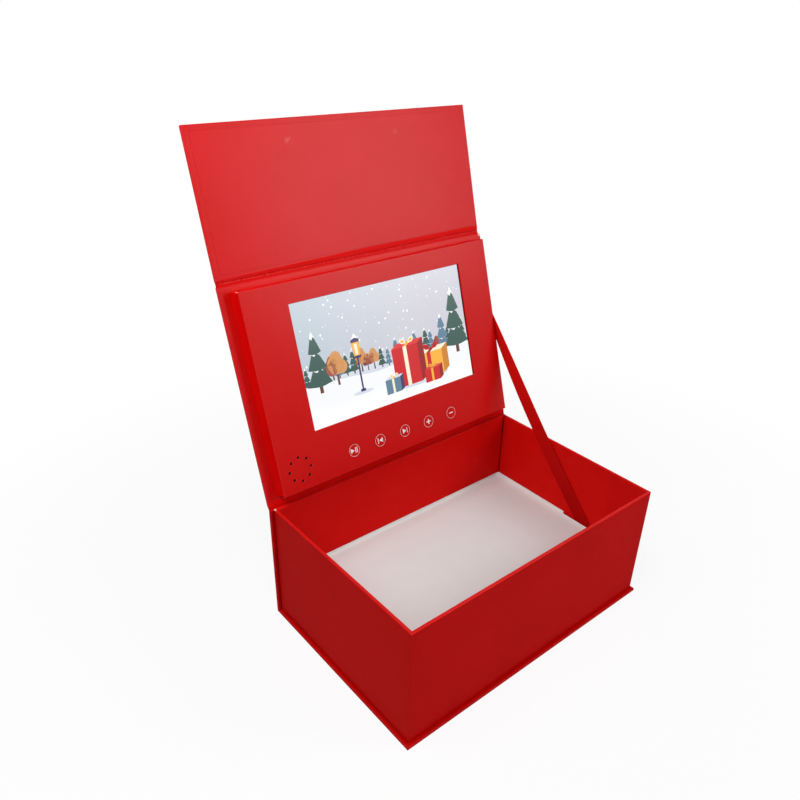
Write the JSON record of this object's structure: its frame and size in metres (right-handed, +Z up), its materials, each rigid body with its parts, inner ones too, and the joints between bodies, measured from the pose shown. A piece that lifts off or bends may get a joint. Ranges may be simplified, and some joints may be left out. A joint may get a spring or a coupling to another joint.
{
  "type": "video gift box",
  "caption": "Red paper-covered gift box with a screen module and control buttons inside its hinged lid, a folding magnetic front flap and a white platform in the tray.",
  "frame": {"origin": "centre of the flat underside of the base, under the middle of the tray", "axes": "+X along the lid hinge to the right seen from the front, +Y to the rear where the lid is hinged, +Z up"},
  "size_m": [0.2336, 0.2278, 0.3356],
  "materials": {
    "wrap_paper": "matte",
    "liner_paper": "matte",
    "greyboard": "matte",
    "white_card": "matte",
    "rib_card": "matte",
    "tape": "matte",
    "strap": "matte",
    "steel": "satin",
    "module_card": "matte",
    "screen_glass": "gloss",
    "backlight": "matte",
    "foam": "matte",
    "flex_film": "matte",
    "circuit": "satin",
    "battery": "satin",
    "lead": "matte",
    "button": "satin",
    "switch": "matte"
  },
  "bodies": {
    "tray": {"base_wrap": "wrap_paper", "base_board": "greyboard", "spine_wrap": "wrap_paper", "spine_board": "greyboard", "spine_tape": "tape", "tray_wrap": "wrap_paper", "tray_front_board": "greyboard", "tray_rear_board": "greyboard", "tray_left_board": "greyboard", "tray_right_board": "greyboard", "tray_bottom_board": "greyboard", "front_catch_discs": "steel", "trigger_magnet": "steel", "platform": "white_card", "platform_long_ribs": "rib_card", "platform_cross_ribs": "rib_card", "stay_strap": "strap", "lid_hinge_paper": "wrap_paper", "lid_hinge_liner": "liner_paper"},
    "lid": {"lid_wrap": "wrap_paper", "lid_board": "greyboard", "lid_liner": "liner_paper", "strap_lid_tab": "strap", "module_face": "module_card", "module_side_left": "module_card", "module_side_right": "module_card", "module_side_top": "module_card", "module_side_bottom": "module_card", "lcd_glass": "screen_glass", "lcd_backlight": "backlight", "lcd_foam_strips": "foam", "lcd_flex": "flex_film", "driver_board": "circuit", "driver_board_tape": "foam", "battery": "battery", "battery_leads": "lead", "speaker": "steel", "speaker_gasket": "foam", "speaker_leads": "lead", "usb_socket": "steel", "usb_board": "circuit", "reed_switch": "screen_glass", "button_switches": "switch", "button_board": "circuit", "button_board_pad": "foam", "flap_hinge_paper": "wrap_paper", "flap_hinge_liner": "liner_paper"},
    "flap": {"flap_wrap": "wrap_paper", "flap_board": "greyboard", "flap_liner": "liner_paper", "flap_magnets": "steel"},
    "play_pause_button": {"button_play_pause": "button"},
    "previous_button": {"button_previous": "button"},
    "next_button": {"button_next": "button"},
    "volume_up_button": {"button_volume_up": "button"},
    "volume_down_button": {"button_volume_down": "button"}
  },
  "joints": [
    {"name": "lid_hinge", "type": "hinge", "parent": "tray", "child": "lid", "pos_m": [0, 0.0777, 0.0956], "axis": [1, 0, 0], "range_deg": [0, 107], "deforming": ["stay_strap", "lid_hinge_paper", "lid_hinge_liner"]},
    {"name": "flap_hinge", "type": "hinge", "parent": "lid", "child": "flap", "pos_m": [0, 0.12495, 0.24365], "axis": [1, 0, 0], "range_deg": [0, 88.5], "deforming": ["flap_hinge_paper", "flap_hinge_liner"]},
    {"name": "play_pause_press", "type": "slide", "parent": "lid", "child": "play_pause_button", "axis": [0, 0.9563, -0.2924], "range_m": [0, 0.0005], "stiffness_N_per_m": 400},
    {"name": "previous_press", "type": "slide", "parent": "lid", "child": "previous_button", "axis": [0, 0.9563, -0.2924], "range_m": [0, 0.0005], "stiffness_N_per_m": 400},
    {"name": "next_press", "type": "slide", "parent": "lid", "child": "next_button", "axis": [0, 0.9563, -0.2924], "range_m": [0, 0.0005], "stiffness_N_per_m": 400},
    {"name": "volume_up_press", "type": "slide", "parent": "lid", "child": "volume_up_button", "axis": [0, 0.9563, -0.2924], "range_m": [0, 0.0005], "stiffness_N_per_m": 400},
    {"name": "volume_down_press", "type": "slide", "parent": "lid", "child": "volume_down_button", "axis": [0, 0.9563, -0.2924], "range_m": [0, 0.0005], "stiffness_N_per_m": 400}
  ]
}
